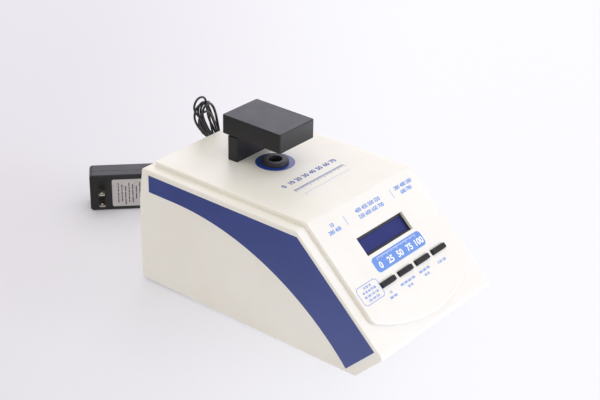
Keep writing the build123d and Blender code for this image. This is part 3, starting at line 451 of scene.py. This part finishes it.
# %% The slope's own directions
slope_angle = math.radians(42.655)
ridge = Vector((0.0, -50.0553, 124.4)) * MM
slope_up = Vector((0.0, math.cos(slope_angle), math.sin(slope_angle)))
slope_out = Vector((0.0, -math.sin(slope_angle), math.cos(slope_angle)))
slope = Matrix((
    (1.0, 0.0, 0.0, ridge.x),
    (0.0, slope_up.y, slope_out.y, ridge.y),
    (0.0, slope_up.z, slope_out.z, ridge.z),
    (0.0, 0.0, 0.0, 1.0),
))
panel_top = Matrix.Translation((0.0, 0.0, ridge.z))
ink_thickness = 0.06 * MM
stroke_weight = 0.028


def on_slope(x, down, lift=0.0):
    """Millimetres across and down the slope from its ridge, as a placing matrix."""
    return slope @ Matrix.Translation((x * MM, -down * MM, lift * MM))


def keep(name, mesh, material, body="chassis"):
    """Link a finished mesh as a piece that rides on a body."""
    piece = bpy.data.objects.new(name, mesh)
    bpy.context.scene.collection.objects.link(piece)
    if material is not None:
        mesh.materials.clear()
        mesh.materials.append(material)
    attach(piece, body)
    return piece


# %% Rounded plates, outlines and rules
def rounded_sheet(bm, width, height, corner, segments=8):
    """A flat rounded rectangle round the origin, as one face."""
    made = bmesh.ops.create_grid(bm, x_segments=1, y_segments=1, size=0.5)
    bmesh.ops.scale(bm, vec=(width, height, 1.0), verts=made["verts"])
    if corner:
        bmesh.ops.bevel(
            bm, geom=made["verts"], offset=corner, segments=segments, profile=0.5,
            affect="VERTICES", material=-1,
        )


def open_middle(bm, line):
    """Leave only a rim of a given width of a flat sheet."""
    bmesh.ops.inset_region(
        bm, faces=bm.faces[:], thickness=line, use_boundary=True, use_even_offset=True
    )
    middle = max(bm.faces, key=lambda face: face.calc_area())
    bmesh.ops.delete(bm, geom=[middle], context="FACES")


def thicken(bm, thickness):
    """Raise the flat faces by a thickness and close them below."""
    raised = bmesh.ops.extrude_face_region(bm, geom=bm.faces[:])
    moved = [item for item in raised["geom"] if isinstance(item, bmesh.types.BMVert)]
    bmesh.ops.translate(bm, vec=(0, 0, thickness), verts=moved)
    bmesh.ops.recalc_face_normals(bm, faces=bm.faces[:])


def to_mesh(bm, name, place):
    mesh = bpy.data.meshes.new(name)
    bmesh.ops.transform(bm, matrix=place, verts=bm.verts[:])
    bm.to_mesh(mesh)
    bm.free()
    return mesh


def printed_plate(name, width, height, corner, place, material):
    bm = bmesh.new()
    rounded_sheet(bm, width * MM, height * MM, corner * MM)
    thicken(bm, ink_thickness)
    return keep(name, to_mesh(bm, name, place), material)


def printed_outline(name, width, height, corner, line, place, material):
    """A rounded frame: a plate whose face is inset and opened."""
    bm = bmesh.new()
    rounded_sheet(bm, width * MM, height * MM, corner * MM)
    open_middle(bm, line * MM)
    thicken(bm, ink_thickness)
    return keep(name, to_mesh(bm, name, place), material)


def printed_rules(name, marks, place, material):
    """Several straight strokes as one piece: (x, y, width, height) of each, in millimetres."""
    bm = bmesh.new()
    for x, y, width, height in marks:
        made = bmesh.ops.create_grid(bm, x_segments=1, y_segments=1, size=0.5)
        bmesh.ops.scale(bm, vec=(width * MM, height * MM, 1.0), verts=made["verts"])
        bmesh.ops.translate(bm, vec=(x * MM, y * MM, 0.0), verts=made["verts"])
    thicken(bm, ink_thickness)
    return keep(name, to_mesh(bm, name, place), material)


def printed_numbers(name, labels, place, material):
    """Plain numbers as one piece: (text, x, y, size) of each, in millimetres."""
    bm = bmesh.new()
    for text, x, y, size in labels:
        words = bpy.data.curves.new("number", "FONT")
        words.body = text
        words.size = size * MM
        words.align_x = "CENTER"
        words.align_y = "CENTER"
        words.offset = stroke_weight * size * MM
        words.extrude = ink_thickness / 2
        words.resolution_u = 4
        holder = bpy.data.objects.new("number", words)
        mesh = bpy.data.meshes.new_from_object(holder)
        mesh.transform(Matrix.Translation((x * MM, y * MM, ink_thickness / 2)))
        bm.from_mesh(mesh)
        bpy.data.objects.remove(holder)
        bpy.data.meshes.remove(mesh)
    bmesh.ops.remove_doubles(bm, verts=bm.verts[:], dist=0.001 * MM)
    return keep(name, to_mesh(bm, name, place), material)


# %% [markdown]
# Two rows of numbers stand in each of the three fields above the display, split by two thin lines.
# More numbers stand under the buttons and in an outlined note at the left. The pale badge under the
# display carries a plain scale from 0 to 100.

# %% Print the badge
badge_width, badge_height = 71.7, 14.6
badge_middle = (1.9, 62.6)
printed_plate(
    "badge_panel", badge_width, badge_height, 4.0, on_slope(*badge_middle), ink_pale
)
badge_place = on_slope(*badge_middle, lift=ink_thickness / MM)
badge_start, badge_pitch, badge_tick_top = -28.0, 1.4, 6.0
ticks = []
for step in range(41):
    height = 2.8 if step % 10 == 0 else 2.1 if step % 5 == 0 else 1.3
    ticks.append((badge_start + step * badge_pitch, badge_tick_top - height / 2, 0.4, height))
printed_rules("badge_ticks", ticks, badge_place, ink_white)
numbers = [
    (str(step * 25), badge_start + step * 10 * badge_pitch, -1.9, 8.6) for step in range(5)
]
printed_numbers("badge_numbers", numbers, badge_place, ink_white)

# %% Print the fields, the note and the button numbers
printed_rules(
    "field_lines", [(-31.7, -15.0, 0.45, 9.0), (36.2, -15.2, 0.45, 9.1)], on_slope(0, 0), ink_pale,
)
fields = [
    ("10", -49.4, -12.6, 5.2), ("280 400", -49.6, -18.3, 5.0),
    ("400 450 500 550", 2.0, -12.7, 5.2), ("550 600 650 700", 2.2, -18.9, 5.2),
    ("380 480 580", 55.2, -12.7, 5.2), ("680 780", 55.2, -18.4, 5.0),
]
printed_numbers("field_numbers", fields, on_slope(0, 0), ink_pale)
labels = [
    ("10", -34.8, -88.8, 3.2), ("280 400", -34.8, -93.1, 3.1),
    ("400 500 600 700", -9.8, -88.7, 3.1), ("20 30", -9.8, -93.0, 3.2),
    ("380 580 780", 15.6, -88.5, 3.1), ("40 50", 15.6, -93.0, 3.2),
    ("0 50 100", 41.2, -90.2, 3.4),
]
printed_numbers("button_numbers", labels, on_slope(0, 0), ink_pale)
printed_outline(
    "note_frame", 28.7, 17.8, 4.0, 0.5, on_slope(-55.4, 79.1), ink_pale
)
notes = [
    ("10 20 30", -55.4, -73.4, 3.0), ("40 50 60 70 80", -55.4, -77.2, 3.0),
    ("90 100 110 120", -55.4, -81.2, 3.0), ("130 140 150", -55.4, -85.0, 3.0),
]
printed_numbers("note_numbers", notes, on_slope(0, 0), ink_pale)

# %% [markdown]
# The flat top carries a millimetre scale with its numbers, where a lens can be laid against it, and
# a finer line of tenths of an inch in front of it.

# %% Print the top
ruler_start, ruler_line = -33.0, -3.4
number_line, number_size = 8.0, 7.4
tenths_start, tenths_line = -30.0, -13.2
tenth_inch = 2.54
marks = []
for step in range(71):
    height = 4.6 if step % 10 == 0 else 3.4 if step % 5 == 0 else 2.2
    marks.append((ruler_start + step, ruler_line - height / 2, 0.3, height))
marks.append((2.0, -3.2, 70.3, 0.6))
printed_rules("ruler_ticks", marks, panel_top, ink_navy)
numbers = [
    (str(step * 10), ruler_start + step * 10.0, number_line, number_size) for step in range(8)
]
printed_numbers("ruler_numbers", numbers, panel_top, ink_navy)
tenths = []
for step in range(26):
    height = 3.0 if step % 10 == 0 else 1.8
    tenths.append((tenths_start + step * tenth_inch, tenths_line - height / 2, 0.35, height))
printed_rules("ruler_tenths", tenths, panel_top, ink_pale)

# %% [markdown]
# The adapter's silver label is ruled with broken grey lines where a real one has its print. The
# adapter lies on its side, so the lines stand upright.

# %% Rule the adapter's label
label_place = Matrix((
    (adapter_along.x, 0.0, -adapter_across.x, 0.0),
    (adapter_along.y, 0.0, -adapter_across.y, 0.0),
    (0.0, 1.0, 0.0, 0.0),
    (0.0, 0.0, 0.0, 1.0),
))
label_middle, label_lift = 45.0, 0.2
stroke_start, stroke_pitch, stroke_width, stroke_gap = -15.5, 3.7, 1.1, 0.9
label_place.translation = on_adapter(label_middle, -label_lift, adapter_size[2] / 2) * MM
strokes = []
for column in range(10):
    reach = 11.5 - 2.0 * (column % 3)
    height = reach
    while height > -reach:
        length = 2.2 + 1.6 * ((column * 3 + round(height)) % 4)
        across = stroke_start + column * stroke_pitch
        strokes.append((across, height - length / 2, stroke_width, length))
        height -= length + stroke_gap
label_rules = printed_rules("label_rules", strokes, label_place, ink_grey)

# %% [markdown]
# ## The display's characters
#
# A two-row display shows the faint boxes of its sixteen characters even when it is blank, because
# the clear film between the glasses is etched only there. They are thirty-two thin plates on it.

# %% Character cells
cell_width, cell_height = 2.95, 5.55
cell_pitch, row_pitch = 3.55, 5.95
cells = []
for column in range(16):
    for row in (-0.5, 0.5):
        cells.append(((column - 7.5) * cell_pitch, row * row_pitch, cell_width, cell_height))
cell_look = finish(
    "display_cell_film", "2A316E", "2C3372", 0.3, patch=20.0, grain=2.0, depth=0.001,
    sheen_range=0.02, IOR=1.3,
)
glass_middle, glass_depth = 42.5, 4.1
glass_place = on_slope(0, glass_middle, -glass_depth)
printed_rules("display_cells", cells, glass_place, cell_look)

# %% [markdown]
# ## The band round the hank
#
# A strip of soft tie holds the turns together below their middle. It is a tube of rectangular
# section round the flat bundle, so it starts as a rounded outline that is given its height.

# %% The band
band_height = 58.0
band_offset = 1.45
band_size = (17.9, 16.2, 5.0)
band_corner, band_wall = 2.6, 0.8
band_middle = Vector(hank_point(band_height, band_offset, 0.0)) * MM
band_up = Vector(hank_point(band_height + 5, 0, 0)) - Vector(hank_point(band_height - 5, 0, 0))
band_up.normalize()
band_side = Vector((1, 0, 0))
band_side = (band_side - band_up * band_side.dot(band_up)).normalized()
band_out = band_up.cross(band_side)
band_frame = Matrix((
    (band_side.x, band_out.x, band_up.x, band_middle.x),
    (band_side.y, band_out.y, band_up.y, band_middle.y),
    (band_side.z, band_out.z, band_up.z, band_middle.z),
    (0.0, 0.0, 0.0, 1.0),
))
bm = bmesh.new()
rounded_sheet(bm, band_size[0] * MM, band_size[1] * MM, band_corner * MM)
open_middle(bm, band_wall * MM)
thicken(bm, band_size[2] * MM)
band = keep("tie_band", to_mesh(bm, "tie_band", band_frame), looks["abs_black"])
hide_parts("cord_tie")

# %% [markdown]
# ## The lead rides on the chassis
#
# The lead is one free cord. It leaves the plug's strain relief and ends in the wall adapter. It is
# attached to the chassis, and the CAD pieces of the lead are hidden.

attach(lead, "chassis")
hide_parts("cord_lead_in", "cord_hank", "cord_lead_out")

# %% [markdown]
# ## Floor and light
#
# A product picture is taken on a white sweep under large soft lamps. Here the floor is one pale
# plane, and it looks grey at the left and nearly white at the front right through painted light: what
# the camera and shiny surfaces see of it has a painted glow that grows towards the right, and shiny
# surfaces see it darker at the left and brighter at the right, so a black front face mirrors a
# painted bright floor and a black left face a painted dim one. The key lamp is low and in front,
# where the slope doesn't mirror it into the camera.

# %% Floor
floor_mesh = bpy.data.meshes.new("floor")
bm = bmesh.new()
bmesh.ops.create_grid(bm, x_segments=1, y_segments=1, size=5.0)
bm.to_mesh(floor_mesh)
bm.free()
floor = bpy.data.objects.new("floor", floor_mesh)
bpy.context.scene.collection.objects.link(floor)
floor_look = bpy.data.materials.new("paper_sweep")
floor_look.use_nodes = True
tree = floor_look.node_tree
place = add(tree, "ShaderNodeTexCoord").outputs["Object"]
across = add(
    tree, "ShaderNodeVectorMath", {0: place, 1: (side.x, side.y, 0.0)}, operation="DOT_PRODUCT"
).outputs["Value"]
share = add(
    tree, "ShaderNodeMapRange",
    {"Value": across, "From Min": -0.34, "From Max": 0.16, "To Max": 0.95},
    interpolation_type="SMOOTHSTEP",
).outputs["Result"]
path = add(tree, "ShaderNodeLightPath").outputs
seen = add(
    tree, "ShaderNodeMath", {0: path["Is Camera Ray"], 1: path["Is Glossy Ray"]}, operation="MAXIMUM"
).outputs[0]
# Painted glow: camera and glossy rays see the floor glow, more towards the front right, and glossy
# rays see it 2.6 times stronger as a painted reflection.
painted_glow = add(tree, "ShaderNodeMath", {0: seen, 1: share}, operation="MULTIPLY").outputs[0]
painted_reflection_gain = add(
    tree, "ShaderNodeMapRange", {"Value": path["Is Glossy Ray"], "To Min": 1.0, "To Max": 2.6}
).outputs["Result"]
painted_glow_strength = add(tree, "ShaderNodeMath", {0: painted_glow, 1: painted_reflection_gain}, operation="MULTIPLY").outputs[0]
# Painted reflection: glossy rays see the floor's colour darker than the colour that the lamps light.
paper_and_painted_reflection = add(
    tree, "ShaderNodeMix",
    {0: path["Is Glossy Ray"], 6: linear("E2E1E8"), 7: linear("A9A8AD")}, data_type="RGBA",
).outputs[2]
paper_and_painted_reflection = add(
    tree, "ShaderNodeMix", {0: painted_glow, 6: paper_and_painted_reflection, 7: linear("000000")}, data_type="RGBA"
).outputs[2]
shader = tree.nodes["Principled BSDF"]
shader.inputs["Roughness"].default_value = 0.9
shader.inputs["Specular IOR Level"].default_value = 0.1
shader.inputs["Emission Color"].default_value = linear("FCFBFF")
tree.links.new(paper_and_painted_reflection, shader.inputs["Base Color"])
tree.links.new(painted_glow_strength, shader.inputs["Emission Strength"])
floor_mesh.materials.append(floor_look)

# %% World
world = bpy.data.worlds.new("studio")
bpy.context.scene.world = world
world.use_nodes = True
tree = world.node_tree
path = add(tree, "ShaderNodeLightPath").outputs
bright = add(
    tree, "ShaderNodeMath", {0: path["Is Camera Ray"], 1: path["Is Glossy Ray"]}, operation="MAXIMUM"
).outputs[0]
bright = add(
    tree, "ShaderNodeMath", {0: bright, 1: path["Is Transmission Ray"]}, operation="MAXIMUM"
).outputs[0]
fill_level = 0.92
towards = add(tree, "ShaderNodeTexCoord").outputs["Generated"]
right = add(
    tree, "ShaderNodeVectorMath", {0: towards, 1: (1.0, 0.0, 0.0)}, operation="DOT_PRODUCT"
).outputs["Value"]
# Painted reflection: camera, glossy and transmission rays see the world dimmer towards the left, from
# 0.55 to 1.0, while the fill that lights the scene stays at 0.92.
painted_reflection_level = add(
    tree, "ShaderNodeMapRange",
    {"Value": right, "From Min": -0.7, "From Max": 0.2, "To Min": 0.55, "To Max": 1.0},
).outputs["Result"]
strength = add(
    tree, "ShaderNodeMix", {0: bright, 2: fill_level, 3: painted_reflection_level}, data_type="FLOAT"
).outputs[0]
tint = add(
    tree, "ShaderNodeMix", {0: bright, 6: linear("FFFCF7"), 7: linear("F9F9FE")}, data_type="RGBA"
).outputs[2]
background = tree.nodes["Background"]
tree.links.new(tint, background.inputs["Color"])
tree.links.new(strength, background.inputs["Strength"])


# %% Lamps
def softbox(name, place, target, size, power, colour="FFFFFF"):
    lamp = bpy.data.lights.new(name, "AREA")
    lamp.shape = "SQUARE"
    lamp.size = size
    lamp.energy = power
    lamp.color = linear(colour)[:3]
    holder = bpy.data.objects.new(name, lamp)
    bpy.context.scene.collection.objects.link(holder)
    towards = (Vector(target) - Vector(place)).to_track_quat("-Z", "Y")
    holder.matrix_world = Matrix.Translation(place) @ towards.to_matrix().to_4x4()
    return holder


softbox("key", (0.75, -2.3, 0.45), (0.0, -0.05, 0.08), 0.9, 26.5, "D4DDFF")
softbox("back", (1.4, 1.15, 1.1), (0.0, 0.05, 0.12), 1.1, 6.0, "F0EBFF")
softbox("over", (0.3, -0.3, 2.2), (0.0, 0.0, 0.1), 1.2, 3.0, "F0EBFF")
bpy.context.scene.view_settings.view_transform = "Standard"

# %% Update the scene
bpy.context.view_layer.update()
